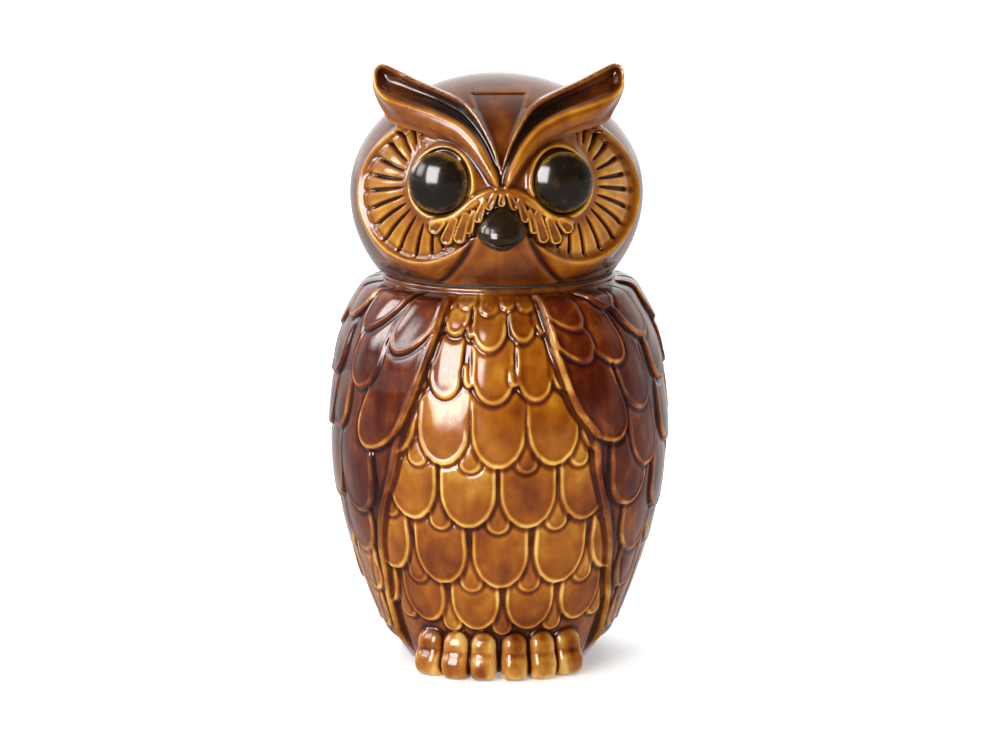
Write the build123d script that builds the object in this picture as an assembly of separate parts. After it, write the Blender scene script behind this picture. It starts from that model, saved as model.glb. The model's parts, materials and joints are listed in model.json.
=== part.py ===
"""Owl coin bank of glazed stoneware: a hollow body with a round mouth and a head that lifts off as its lid.

Millimetres. +Z is up, the owl faces -Y, and its right wing is at -X. The origin is the middle of the foot,
on the surface that the bank stands on.

Each node is one STEP: body_shell, lid_seal, head_shell, left_eye, right_eye, upper_beak and lower_beak. The
shells are slip castings, so the wings, tail, toes, brows and face discs belong to their shell.
"""

import os
from math import asin, cos, sin, sqrt

from build123d import *

# --- driving dimensions -------------------------------------------------------------------------------------
WALL = 6.5  # thickness of the slip-cast wall
FLOOR = 8.0  # thickness of the body's floor
FOOT_RADIUS = 45.5  # where the body meets the table
BELLY_RADIUS = 81.0
BELLY_HEIGHT = 116.0
NECK_RADIUS = 57.8  # outer radius of both rims at the seam
COLLAR_HEIGHT = 3.0  # upright collar under the seam
SEAM_HEIGHT = 194.0  # middle of the seam between body and head
SEAL_THICKNESS = 0.8
SEAL_INNER_RADIUS = 50.5
SEAL_OUTER_RADIUS = 56.4
MOUTH_RADIUS = 49.4
SPIGOT_RADIUS = 48.0  # the head's locating ring, which hangs in the mouth
SPIGOT_WALL = 5.0
SPIGOT_DEPTH = 11.0
HEAD_RADIUS = 72.3
HEAD_WIDEST_HEIGHT = 233.0
HEAD_RISE = 58.5  # of the crown over the widest part
HEAD_FALL = 65.0  # half height of the ellipse that the cheeks follow
ROUNDNESS = 0.5523  # makes a cubic curve a quarter of an ellipse
HEAD_TURN = 2.0  # degrees that the head is turned on the body at rest
HEAD_SHIFT = -1.2  # the loose head sits to one side in the mouth's play

WING_PROUD = 3.0  # how far the folded wings stand out of the body
TAIL_PROUD = 5.5
FEET_SPACING = 44.4  # between the middles of the two feet
TOES_PER_FOOT = 3
TOE_PITCH = 13.5
TOE_RADIUS = 7.2
TOE_REACH = 65.5  # the toes' tips, from the axis
TOE_ROOT_REACH = 46.0  # where the toes' upper ends are, inside the belly
TOE_ROOT_HEIGHT = 17.0

EYE_OFFSET = 29.3  # of each eye from the middle of the face
EYE_HEIGHT = 245.6
EYE_TOE_OUT = 14.0  # degrees that each eye looks outward
EYE_RADIUS = 14.6
EYE_DOME = 8.0  # height of the dome over its flat back
EYE_EDGE = 2.0  # height of the dome's upright edge
SOCKET_GAP = 0.7
SOCKET_FLOOR_Y = -60.6  # the socket's flat floor, at its centre
DISC_OFFSET = 36.4  # of each face disc from the middle of the face, seen from the front
DISC_HEIGHT = 236.8
DISC_RADIUS = 34.0
DISC_RIM = 4.5
DISC_PROUD = 1.6

BEAK_HALF_WIDTH = 12.6
BEAK_PARTING_HEIGHT = 221.0
BEAK_TOP_HEIGHT = 236.0
BEAK_BOTTOM_HEIGHT = 214.0
BEAK_REACH = 82.5  # tip of the beak, from the axis

SLOT_LENGTH = 40.0  # coin slot in the back of the head
SLOT_WIDTH = 6.0
SLOT_HEIGHT = 256.0

BODY_RIM = SEAM_HEIGHT - SEAL_THICKNESS / 2
HEAD_RIM = SEAM_HEIGHT + SEAL_THICKNESS / 2
BEYOND = 120.0  # reaches past the model on every side


def at(radius, height):
    """A point of a profile that is turned about the axis."""
    return Vector(radius, height)


def turned(*edges):
    """The solid of revolution that closed profile edges make about the axis."""
    return revolve(Plane.XZ * make_face(list(edges)), Axis.Z, 360)


def front_prism(face, low_y, high_y):
    """Extrudes an outline drawn in the front view, X across and Z up, from low_y to high_y."""
    plane = Plane(origin=(0, low_y, 0), x_dir=(1, 0, 0), z_dir=(0, -1, 0))
    return extrude(plane * face, amount=-(high_y - low_y))


def both_sides(solid):
    """A solid and its mirror image in the owl's middle plane."""
    return solid + mirror(solid, about=Plane.YZ)


# --- body ---------------------------------------------------------------------------------------------------
def body_blank(proud):
    """The body without its hollow, with its skin moved outward by proud below the shoulders."""
    foot = at(FOOT_RADIUS + proud, 0)
    neck = at(NECK_RADIUS, BODY_RIM - COLLAR_HEIGHT)
    skin = Spline(
        foot,
        at(59.5 + proud, 25),
        at(76.6 + proud, 80),
        at(BELLY_RADIUS + proud, BELLY_HEIGHT),
        at(76.8 + 0.9 * proud, 158),
        at(66.5 + 0.6 * proud, 182.5),
        neck,
    )
    rim = at(NECK_RADIUS, BODY_RIM)
    return turned(
        Line(at(0, 0), foot),
        skin,
        Line(neck, rim),
        Line(rim, at(0, BODY_RIM)),
        Line(at(0, BODY_RIM), at(0, 0)),
    )


def body_hollow():
    """The space for coins, up to a round mouth."""
    corner = at(FOOT_RADIUS - WALL + 2, FLOOR)
    shoulder = at(MOUTH_RADIUS, 180)
    wall = Spline(
        corner,
        at(53.4, 25),
        at(76.6 - WALL, 80),
        at(BELLY_RADIUS - WALL, BELLY_HEIGHT),
        at(76.8 - WALL, 154),
        shoulder,
    )
    mouth = at(MOUTH_RADIUS, BODY_RIM + 1)
    return turned(
        Line(at(0, FLOOR), corner),
        wall,
        Line(shoulder, mouth),
        Line(mouth, at(0, BODY_RIM + 1)),
        Line(at(0, BODY_RIM + 1), at(0, FLOOR)),
    )


def wing_outline(inner_edge, tip):
    """A front-view face outside a curved inner edge, drawn from its top down, and over a slanted tip."""
    edge = Spline(*inner_edge)
    high, low = edge @ 0, edge @ 1
    return make_face(
        [
            edge,
            Line(low, tip),
            Line(tip, (BEYOND, tip[1])),
            Line((BEYOND, tip[1]), (BEYOND, high.Y)),
            Line((BEYOND, high.Y), high),
        ]
    )


def wings():
    """Both folded wings, as skins that stand proud of the body. They lap round to the back."""
    skin = body_blank(WING_PROUD)
    top = BODY_RIM - COLLAR_HEIGHT - 0.5
    front = wing_outline([(24, top), (42, 140), (55, 92), (53, 45), (48, 26)], (57, 12))
    back = wing_outline([(20, top), (12, 140), (14, 92), (26, 45), (34, 22)], (57, 12))
    return both_sides(skin & (front_prism(front, -BEYOND, 0) + front_prism(back, 0, BEYOND)))


def tail():
    """The short tail that hangs down the back between the wing tips."""
    blade = make_face(
        [
            Line((-15, 84), (-22, 17)),
            ThreePointArc((-22, 17), (0, 9), (22, 17)),
            Line((22, 17), (15, 84)),
            ThreePointArc((15, 84), (0, 92), (-15, 84)),
        ]
    )
    return body_blank(TAIL_PROUD) & front_prism(blade, 0, BEYOND)


def toe(x):
    """A stubby toe whose tip is at x. It runs out from under the belly, away from the axis."""
    reach = TOE_REACH - TOE_RADIUS
    tip = Vector(x, -sqrt(reach**2 - x**2), TOE_RADIUS - 0.5)
    root_share = TOE_ROOT_REACH / reach
    root = Vector(tip.X * root_share, tip.Y * root_share, TOE_ROOT_HEIGHT)
    along = root - tip
    shaft = Solid.make_cylinder(TOE_RADIUS, along.length, Plane(origin=tip, z_dir=along))
    return shaft + Pos(*tip) * Sphere(TOE_RADIUS) + Pos(*root) * Sphere(TOE_RADIUS)


def feet():
    """Both feet, flat underneath where they stand on the table."""
    foot = Part()
    for i in range(TOES_PER_FOOT):
        foot += toe(FEET_SPACING / 2 + (i - (TOES_PER_FOOT - 1) / 2) * TOE_PITCH)
    under_table = Pos(0, 0, -BEYOND / 2) * Box(2 * BEYOND, 2 * BEYOND, BEYOND)
    return both_sides(foot) - under_table


def body_shell():
    """The hollow body: belly, wings, tail and feet in one casting."""
    return body_blank(0) + wings() + tail() + feet() - body_hollow()


def lid_seal():
    """The thin ring on the body's rim, on which the head rests and turns."""
    ring = Cylinder(SEAL_OUTER_RADIUS, SEAL_THICKNESS) - Cylinder(SEAL_INNER_RADIUS, SEAL_THICKNESS)
    return Pos(0, 0, SEAM_HEIGHT) * ring


# --- head ---------------------------------------------------------------------------------------------------
def head_curve(inset, low):
    """The head's half outline, moved inward by inset: the cheek from the height low, and then the crown."""
    across, rise, fall = HEAD_RADIUS - inset, HEAD_RISE - inset, HEAD_FALL - inset
    low_angle = asin((low - HEAD_WIDEST_HEIGHT) / fall)
    turns = [low_angle * share for share in (1, 0.75, 0.5, 0.25, 0)]
    cheek = Spline(*[at(across * cos(turn), HEAD_WIDEST_HEIGHT + fall * sin(turn)) for turn in turns])
    crown = Bezier(
        at(across, HEAD_WIDEST_HEIGHT),
        at(across, HEAD_WIDEST_HEIGHT + ROUNDNESS * rise),
        at(ROUNDNESS * across, HEAD_WIDEST_HEIGHT + rise),
        at(0, HEAD_WIDEST_HEIGHT + rise),
    )
    return cheek, crown


def head_blank(proud):
    """The head without its hollow, with its skin moved outward by proud."""
    cheek, crown = head_curve(-proud, HEAD_RIM + 2.2)
    rim = at(NECK_RADIUS - 1, HEAD_RIM)
    return turned(
        Line(at(0, HEAD_RIM), rim),
        Line(rim, cheek @ 0),
        cheek,
        crown,
        Line(crown @ 1, at(0, HEAD_RIM)),
    )


def head_hollow():
    """The space inside the head, open downward through the spigot."""
    bore = SPIGOT_RADIUS - SPIGOT_WALL
    bottom = SEAM_HEIGHT - SPIGOT_DEPTH - 1
    ledge = HEAD_RIM + WALL
    cheek, crown = head_curve(WALL, ledge)
    return turned(
        Line(at(0, bottom), at(bore, bottom)),
        Line(at(bore, bottom), at(bore, ledge)),
        Line(at(bore, ledge), cheek @ 0),
        cheek,
        crown,
        Line(crown @ 1, at(0, bottom)),
    )


def spigot():
    """The locating ring under the head."""
    top = HEAD_RIM + 3
    height = top - (SEAM_HEIGHT - SPIGOT_DEPTH)
    return Pos(0, 0, top - height / 2) * Cylinder(SPIGOT_RADIUS, height)


def brow_tuft():
    """The owl's left brow, which rises from the bridge of the beak to the tip of the ear tuft."""
    stations = [
        ((4, -69, 251), 4.0),
        ((12, -63, 264), 7.5),
        ((24, -54, 274), 9.5),
        ((38, -44, 281), 8.5),
        ((50, -38, 288), 7.0),
        ((57, -34.5, 294.8), 4.8),
    ]
    centres = [Vector(*p) for p, _ in stations]
    sections = []
    for i, (point, radius) in enumerate(stations):
        before, after = centres[max(i - 1, 0)], centres[min(i + 1, len(centres) - 1)]
        sections.append(Plane(origin=point, z_dir=after - before) * Circle(radius))
    tip, tip_radius = stations[-1]
    return loft(sections) + Pos(*tip) * Sphere(tip_radius)


def face_disc_rim():
    """The raised rim round the owl's left eye, round in the front view."""
    ring = Circle(DISC_RADIUS) - Circle(DISC_RADIUS - DISC_RIM)
    prism = front_prism(Pos(DISC_OFFSET, DISC_HEIGHT) * ring, -BEYOND, 0)
    return head_blank(DISC_PROUD) & prism


def eye_plane():
    """The plane of the left eye's flat back, whose normal is the way that the eye looks."""
    looking = Vector(0, -1, 0).rotate(Axis.Z, EYE_TOE_OUT)
    return Plane(origin=(EYE_OFFSET, SOCKET_FLOOR_Y, EYE_HEIGHT), z_dir=looking)


def eye_socket():
    """The round pocket that the left eye sits in."""
    return Solid.make_cylinder(EYE_RADIUS + SOCKET_GAP, 30, eye_plane())


def eye():
    """The left eye: a dome with a flat back and a short upright edge."""
    rise = EYE_DOME - EYE_EDGE
    sphere_radius = (EYE_RADIUS**2 + rise**2) / (2 * rise)
    dome = Pos(0, 0, EYE_DOME - sphere_radius) * Sphere(sphere_radius)
    stock = Pos(0, 0, EYE_DOME / 2) * Cylinder(EYE_RADIUS, EYE_DOME)
    return eye_plane() * (dome & stock)


def beak_blank():
    """A hooked cone that comes out of the face, wide at its root and blunt at its tip."""
    middle = (BEAK_TOP_HEIGHT + BEAK_BOTTOM_HEIGHT) / 2
    half_height = (BEAK_TOP_HEIGHT - BEAK_BOTTOM_HEIGHT) / 2
    stations = [(-62, 1.0, 1.0), (-72, 0.92, 0.9), (-78.5, 0.62, 0.62), (-BEAK_REACH, 0.2, 0.24)]
    sections = []
    for y, across, up in stations:
        plane = Plane(origin=(0, y, middle - 2.2 * (1 - up)), x_dir=(1, 0, 0), z_dir=(0, -1, 0))
        sections.append(plane * Ellipse(BEAK_HALF_WIDTH * across, half_height * up))
    return loft(sections)


def coin_slot():
    """A slot with round ends, through the back of the head."""
    return front_prism(Pos(0, SLOT_HEIGHT) * SlotOverall(SLOT_LENGTH, SLOT_WIDTH), 30, BEYOND)


def head_parts():
    """The head's nodes, all turned and shifted a little on the body."""
    blank = head_blank(0) + both_sides(brow_tuft() + face_disc_rim()) + spigot()
    shell = blank - head_hollow() - both_sides(eye_socket()) - coin_slot()
    beak = beak_blank() - blank
    parting = Pos(0, 0, BEAK_PARTING_HEIGHT + BEYOND / 2) * Box(BEYOND, 4 * BEYOND, BEYOND)
    parts = {
        "head_shell": shell,
        "left_eye": eye(),
        "right_eye": mirror(eye(), about=Plane.YZ),
        "upper_beak": beak & parting,
        "lower_beak": beak - parting,
    }
    shift = Pos(HEAD_SHIFT, 0, 0)
    return {name: shift * part.rotate(Axis.Z, HEAD_TURN) for name, part in parts.items()}


def main():
    os.makedirs("parts", exist_ok=True)
    parts = {"body_shell": body_shell(), "lid_seal": lid_seal(), **head_parts()}
    for name, part in parts.items():
        export_step(part, f"parts/{name}.step")


main()
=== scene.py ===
"""The looks of the owl coin bank: two glazed castings with moulded feathers, glossy eyes and a glossy beak.

Shapes are worked out in millimetres with numpy and turned into meshes in metres, in the CAD's frame: +Z is up
and the owl faces -Y. An angle round the axis is 0 at the owl's front and positive towards +X.
"""

import json
import math

import bmesh
import bpy
import numpy as np
import openvdb
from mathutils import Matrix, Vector


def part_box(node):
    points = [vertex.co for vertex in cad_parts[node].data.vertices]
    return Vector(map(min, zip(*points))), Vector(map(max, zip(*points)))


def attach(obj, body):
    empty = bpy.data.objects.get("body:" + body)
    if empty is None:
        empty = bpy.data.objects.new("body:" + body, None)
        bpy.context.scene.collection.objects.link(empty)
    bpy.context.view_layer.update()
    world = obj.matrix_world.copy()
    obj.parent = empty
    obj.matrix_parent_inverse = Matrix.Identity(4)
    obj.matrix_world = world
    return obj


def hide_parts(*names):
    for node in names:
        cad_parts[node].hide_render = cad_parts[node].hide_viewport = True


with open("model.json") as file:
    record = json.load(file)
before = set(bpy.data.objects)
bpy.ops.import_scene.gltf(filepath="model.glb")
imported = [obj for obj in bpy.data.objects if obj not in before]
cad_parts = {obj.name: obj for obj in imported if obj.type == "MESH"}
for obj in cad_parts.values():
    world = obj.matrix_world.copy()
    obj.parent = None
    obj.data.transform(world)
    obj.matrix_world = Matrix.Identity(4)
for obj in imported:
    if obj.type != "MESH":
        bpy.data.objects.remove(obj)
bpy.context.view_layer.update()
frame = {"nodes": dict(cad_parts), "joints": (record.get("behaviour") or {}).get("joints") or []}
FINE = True

MM = 0.001
RNG = np.random.default_rng(7)

# --- sizes shared with the CAD, in mm -----------------------------------------------------------------------
WALL = 6.5
FLOOR = 8.0
SEAM = 1000 * frame["joints"][0]["pos_m"][2]
BODY_RIM = 1000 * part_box("body_shell")[1].z
HEAD_RIM = 2 * SEAM - BODY_RIM
NECK_RADIUS = 57.8
MOUTH_RADIUS = 49.4
SPIGOT_RADIUS = 48.0
SPIGOT_BORE = 43.0
SPIGOT_BOTTOM = 1000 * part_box("head_shell")[0].z
HEAD_RADIUS = 72.3
HEAD_MIDDLE = 233.0
HEAD_RISE = 58.5
HEAD_FALL = 65.0
HEAD_TURN = math.radians(2)  # how the head sits on the jar at rest: turned about Z
HEAD_SHIFT = -1.2  # and moved along X, within the play that its ring has in the mouth
EYE_OFFSET = 29.3
EYE_HEIGHT = 245.6
EYE_RADIUS = 14.6
EYE_TOE_OUT = math.radians(14)
EYE_AXIS = (math.sin(EYE_TOE_OUT), -math.cos(EYE_TOE_OUT))  # the way that the left eye looks, seen from above
SOCKET_GAP = 0.7
SOCKET_FLOOR_Y = -60.6
SLOT_LENGTH = 40.0
SLOT_WIDTH = 6.0
SLOT_HEIGHT = 256.0


# --- small maths --------------------------------------------------------------------------------------------
def smoothstep(low, high, value):
    """0 below low, 1 above high, and a smooth rise between them. low may be above high."""
    t = np.clip((value - low) / (high - low), 0, 1)
    return t * t * (3 - 2 * t)


def bump(distance, width):
    """A smooth bump of height 1 round distance 0."""
    return np.exp(-((distance / width) ** 2))


def soft_min(a, b, blend):
    """The lesser of a and b, rounded over where they cross."""
    h = np.clip(0.5 + 0.5 * (b - a) / blend, 0, 1)
    return b + (a - b) * h - blend * h * (1 - h)


def soft_max(a, b, blend):
    return -soft_min(-a, -b, blend)


def curve(points, steps=10):
    """A smooth line through points, as many short steps."""
    p = np.array(points, float)
    padded = np.vstack([2 * p[0] - p[1], p, 2 * p[-1] - p[-2]])
    out = []
    for i in range(len(p) - 1):
        a, b, c, d = padded[i : i + 4]
        t = np.linspace(0, 1, steps, endpoint=False)[:, None]
        bend, twist = 2 * a - 5 * b + 4 * c - d, 3 * b - a - 3 * c + d
        out.append(0.5 * (2 * b + (c - a) * t + bend * t**2 + twist * t**3))
    out.append(p[-1:])
    return np.vstack(out)


def line_distance(x, z, line):
    """Distance from each point to a line, and the line's further columns at the nearest place."""
    best = np.full(x.shape, 1e9)
    carried = np.zeros(x.shape + (line.shape[1] - 2,))
    for a, b in zip(line[:-1], line[1:]):
        run = b[:2] - a[:2]
        t = np.clip(((x - a[0]) * run[0] + (z - a[1]) * run[1]) / max(run @ run, 1e-9), 0, 1)
        d = np.hypot(x - a[0] - t * run[0], z - a[1] - t * run[1])
        near = d < best
        best = np.where(near, d, best)
        if line.shape[1] > 2:
            carried[near] = (a[2:] + (b[2:] - a[2:]) * t[..., None])[near]
    return best, carried


def inside(x, z, outline):
    """Whether each point is inside a closed outline."""
    crossings = np.zeros(x.shape, bool)
    for a, b in zip(outline, np.roll(outline, -1, axis=0)):
        if a[1] == b[1]:
            continue
        spans = (a[1] > z) != (b[1] > z)
        crossings ^= spans & (x < a[0] + (z - a[1]) * (b[0] - a[0]) / (b[1] - a[1]))
    return crossings


def blurred(grid, passes, wrap=False):
    """The grid after passes of a small blur along both of its directions. wrap joins its columns' ends."""
    for _ in range(passes):
        if wrap:
            grid = 0.5 * grid + 0.25 * (np.roll(grid, 1, 1) + np.roll(grid, -1, 1))
        else:
            side = np.pad(grid, ((0, 0), (1, 1)), mode="edge")
            grid = 0.5 * grid + 0.25 * (side[:, 2:] + side[:, :-2])
        side = np.pad(grid, ((1, 1), (0, 0)), mode="edge")
        grid = 0.5 * grid + 0.25 * (side[2:] + side[:-2])
    return grid


def new_object(name, data):
    obj = bpy.data.objects.new(name, data)
    bpy.context.scene.collection.objects.link(obj)
    return obj


# --- body ---------------------------------------------------------------------------------------------------
BODY_COLUMNS = 960 if FINE else 480
BODY_STEP = 0.5 if FINE else 1.0  # between rows, along the profile
WING_LIFT = 3.0  # of the whole wing over the breast
FEATHER_LIFT = 2.0  # of a feather's tip over the one that it covers
WING_FEATHER_LIFT = 2.2
TAIL_FEATHER_LIFT = 4.6
FEATHER_RIM = 0.42  # height of the bead along a feather's edge
FEATHER_CROWN = 0.35  # how full a feather is inside its bead
FEATHER_GROOVE = 0.5  # depth of the line pressed round a feather
ROW_SAG = 4.5  # how much higher a breast row's tips are at ROW_SAG_ANGLE than in the middle
ROW_SAG_ANGLE = 42.0
BACK_HALF_ANGLE = 92.0  # how far the back's rows run from the middle of the back
COLLAR_LOW = 190.6  # no relief above here
TOE_ROOT = 52.0
TOE_ARC = 61.5  # radius at which the toes' places are measured

# half outline of the breast, from the foot to the collar: radius and height
BREAST_PROFILE = [
    (45.5, 0), (51.5, 9), (58.5, 25), (67.6, 50), (75.6, 80), (79.6, 116), (76, 158), (66.4, 182),
    (58.6, 189.4),
]

# rows of breast feathers, from the lowest: height of the tips, degrees between feathers, whether a feather
# hangs in the middle, degrees that the row is off the middle, and length
BREAST_ROWS = [
    (25.0, 23.5, False, 1.5, 32),
    (48.5, 23.3, True, 0.5, 36),
    (79.5, 21.3, False, -0.3, 38),
    (109.8, 19.4, True, -0.2, 38),
]
# the breast's upper feathers, which are less regular: degrees, height of the tip, half width, and length
UPPER_BREAST = [
    (-30, 145, 5.5, 34), (-19.5, 142.8, 8.2, 34), (-10.6, 148.5, 3.2, 12), (-2, 140.6, 10.2, 34),
    (5.8, 149, 3.0, 12), (13, 142, 8.6, 34), (24, 146, 6.5, 34), (-27, 170, 5.5, 28), (-17, 172, 6.2, 26),
    (-10.8, 171.5, 2.2, 8), (-3.6, 165.5, 8.2, 27), (9.2, 169.5, 6.4, 26), (18, 172.5, 4.5, 22),
]
# the short scallops under the collar: degrees, height of the tip, and half width in mm
NECK_SCALLOPS = [
    (-29, 187.2, 4.2), (-21.6, 184.6, 5), (-13.8, 184.2, 4.2), (-4.2, 181.6, 4.6), (3.8, 184, 3.9),
    (11.6, 182.8, 4.3), (20.5, 186, 4.6),
]

# wing feathers: degrees from the front, height of the tip, half width, how far the feather leans outward as
# it hangs (mm per mm), and length
RIGHT_WING = [
    (62, 40, 9, 0.0, 60),
    (61, 61, 13, -0.05, 50),
    (79, 58, 13, -0.05, 50),
    (57, 82, 13.5, -0.05, 55),
    (77, 84, 13, 0.0, 45),
    (69, 120, 8, 0.1, 30),
    (48.5, 114.5, 14.5, 0.40, 62),
    (84, 118, 11, 0.1, 40),
    (55, 142.5, 10.5, 0.15, 36),
    (79, 144, 10.5, 0.1, 36),
    (38, 161.5, 11, 0.45, 34),
    (57, 169.5, 11, 0.5, 34),
    (74, 171.5, 9.5, 0.3, 26),
]
LEFT_WING = [
    (60, 42, 9, 0.0, 60),
    (59, 62, 13, 0.0, 50),
    (79, 60, 13, 0.0, 50),
    (50, 87, 13, 0.0, 50),
    (74, 79, 12, 0.0, 46),
    (59, 104.5, 11.5, 0.1, 36),
    (79, 111, 11, 0.1, 40),
    (41.5, 119.5, 14.5, 0.36, 66),
    (56, 132.5, 11, 0.25, 40),
    (75, 142, 10.5, 0.2, 36),
    (31, 158.5, 10.5, 0.5, 38),
    (45, 156, 10.5, 0.4, 32),
    (64, 165, 11, 0.35, 34),
    (29.5, 172.5, 10.5, 0.6, 26),
    (48, 180.5, 9, 0.3, 16),
]

# rows of feathers on the unseen back: height of the tips and degrees between feathers
BACK_ROWS = [(40, 17), (65, 17), (91, 16), (118, 15), (144, 14.5), (168, 14)]
# tail feathers: degrees from the middle of the back, height of the tip, and half width in mm
TAIL = [(-15, 18.5, 6.5), (15, 18.5, 6.5), (-8, 14.5, 7), (8, 14.5, 7), (0, 11.5, 7.5)]

# inner edge of each wing, from its top down: degrees from the front, and height
RIGHT_WING_EDGE = [
    (21, 190), (24, 169), (28.6, 148), (35, 124), (38.5, 104), (44.5, 86), (49, 68), (51.5, 51), (56, 29),
    (58, 18),
]
LEFT_WING_EDGE = [
    (15.5, 190), (17, 182), (20.4, 160), (26, 138), (33, 123.5), (35, 105), (39.5, 87), (44, 70), (48, 52),
    (56, 29), (58, 18),
]
# back edge of both wings, from its top down: degrees from the middle of the back, and height
BACK_EDGE = [(19, 190), (10, 160), (8.5, 140), (10.5, 92), (23, 45), (34, 24), (50, 12)]

# a toe from the side, reach and height: a rounded tip, a dip, and a knuckle that runs up into the belly
TOE_SIDE = [
    (61, -0.6), (64.8, 1.6), (66.2, 5.5), (65.7, 9.5), (64.0, 12.8), (63.6, 15.5), (62.8, 19), (60, 22.8),
    (55, 26), (48, 27.5),
]
# a toe from the front: heights, and its half width at each
TOE_HEIGHTS = [0, 3, 8, 13, 17, 19.5, 21.5, 23, 24.5]
TOE_HALF_WIDTHS = [6.7, 7.3, 7.5, 7.1, 7.2, 6.8, 5.7, 4.2, 1.5]
TOES = [(8.0, 0.5), (21.9, 0.2), (35.4, 1.6)]  # place from the middle line, and how far each is set back

# the inside wall from the mouth to the floor, and the foot from its middle to its edge: radius and height
INSIDE_WALL = [
    (MOUTH_RADIUS, 179), (58.5, 171), (70.3, 154), (74.5, 116), (70.1, 80), (53.4, 25), (44, 11), (38, FLOOR),
]
FOOT = [(0.01, 1.6), (30, 1.6), (34.5, 1.2), (37, 0.1), (38, 0), (44.2, 0)]


def body_profile():
    """The breast's half outline at even steps: radius and height, and the outward normal."""
    rim = [
        (NECK_RADIUS, 190.4),
        (NECK_RADIUS - 0.2, 191.2),
        (NECK_RADIUS, BODY_RIM - 1.2),
        (NECK_RADIUS - 0.5, BODY_RIM - 0.3),
    ]
    line = np.vstack([curve(BREAST_PROFILE, 40), curve(rim, 8)])
    length = np.r_[0, np.cumsum(np.hypot(*np.diff(line, axis=0).T))]
    at = np.linspace(0, length[-1], int(length[-1] / BODY_STEP) + 1)
    line = np.column_stack([np.interp(at, length, line[:, i]) for i in (0, 1)])
    run = np.gradient(line, axis=0)
    run = np.column_stack([blurred(run[:, i : i + 1], 12)[:, 0] for i in (0, 1)])
    run /= np.hypot(*run.T)[:, None]
    return line, np.column_stack([run[:, 1], -run[:, 0]])


def feather(layers, place, centre, tip, half, lean, length, lift=FEATHER_LIFT, rim=FEATHER_RIM, nose=1.5):
    """Lays one feather over the layers: the relief in mm, how far along a feather each point is, and the
    feather's own tint. place is each point's angle, height and radius, centre is in degrees, and half is the
    half width. lean is mm outward for each mm it hangs, and nose is how long its tip is for its width."""
    angle, z, radius = place
    up = z - tip
    across = np.radians((angle - centre + 180) % 360 - 180) * radius + lean * up
    tint = RNG.random()
    near = (np.abs(across) < half + 4) & (up > -6) & (up < 1.1 * length)
    if not near.any():
        return
    up, across = up[near], across[near]
    height, along, tints = (layer[near] for layer in layers)
    below = np.clip(nose * half - up, 0, None) / nose
    edge = half - np.hypot(across, below)
    level = lift * np.clip(1 - up / length, 0, 1) ** 0.8
    level += rim * bump(edge - 0.95, 0.7) * smoothstep(length, 0.75 * length, up)
    level += FEATHER_CROWN * smoothstep(1.0, 0.8 * half, edge) * smoothstep(0.9 * length, 0.5 * length, up)
    cover = smoothstep(-0.35, 0.55, edge) * smoothstep(1.05 * length, 0.85 * length, up)
    groove = FEATHER_GROOVE * bump(edge + 1.0, 0.95) * smoothstep(0.9 * length, 0.6 * length, up)
    under = height * smoothstep(0.3 * length, length, up)
    layers[0][near] = height * (1 - cover) + np.maximum(level, under) * cover - groove
    layers[1][near] = along * (1 - cover) + np.clip(up / length, 0, 1) * cover
    layers[2][near] = tints * (1 - cover) + tint * cover


def profile_radius(z):
    return np.interp(z, [p[1] for p in BREAST_PROFILE], [p[0] for p in BREAST_PROFILE])


def breast(place):
    """Rows of scale-like feathers, each row over the one below, with narrow ones in the gaps."""
    layers = np.zeros((3,) + place[1].shape)
    for tip, pitch, in_middle, shift, length in BREAST_ROWS:
        places = np.arange(-3, 4) + (0 if in_middle else 0.5)
        width = np.radians(pitch) * profile_radius(tip)
        for centre in (places + 0.5) * pitch + shift:
            hang = tip - 2.6 + ROW_SAG * (centre / ROW_SAG_ANGLE) ** 2
            feather(layers, place, centre, hang, 0.21 * width, 0, 0.7 * length, 1.3, 0.35, 1.0)
        for centre in places * pitch + shift:
            hang = tip + ROW_SAG * (centre / ROW_SAG_ANGLE) ** 2
            feather(layers, place, centre, hang, 0.497 * width, 0, length)
    for centre, tip, half, length in UPPER_BREAST:
        feather(layers, place, centre, tip, half, 0, length, 1.6, 0.4, 1.35)
    for centre, tip, half in NECK_SCALLOPS:
        feather(layers, place, centre, tip, half, 0, 10, 1.3, 0.35, 0.9)
    return layers


def back_rows():
    """The unseen back: the same scales in plain staggered rows. They run in under the wings at the sides."""
    made = []
    for i, (tip, pitch) in enumerate(BACK_ROWS):
        half = 0.5 * np.radians(pitch) * (profile_radius(tip) + WING_LIFT)
        for place in range(-7, 8):
            off = (place + 0.5 * (i % 2)) * pitch
            if abs(off) < BACK_HALF_ANGLE:
                made.append((180 + off, tip + 3 * math.sin(0.9 * place), half, 0, 36, WING_FEATHER_LIFT))
    return made


def low_feathers():
    """The long feathers at the sides that reach almost to the foot."""
    places = range(68, 152, 13)
    return [(side * centre, 17 + 0.03 * centre, 8.2, 0, 62, 1.3) for side in (-1, 1) for centre in places]


def coat(place):
    """Both wings and the back between them, each feather over the ones that hang lower, and then the tail."""
    layers = np.zeros((3,) + place[1].shape)
    right_wing = [(-centre, tip, half, -lean, length) for centre, tip, half, lean, length in RIGHT_WING]
    feathers = [row + (WING_FEATHER_LIFT,) for row in right_wing + LEFT_WING] + back_rows() + low_feathers()
    for centre, tip, half, lean, length, lift in sorted(feathers, key=lambda row: row[1]):
        lift *= 0.5 if tip < 70 and abs(centre) < 100 else 1  # the wings' lowest feathers lie flatter
        feather(layers, place, centre, tip, half, lean, length, lift, 0.45, 1.3)
    for centre, tip, half in TAIL:
        feather(layers, place, 180 + centre, tip, half, 0, 78, TAIL_FEATHER_LIFT, 0.5, 1.05)
    return layers


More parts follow.
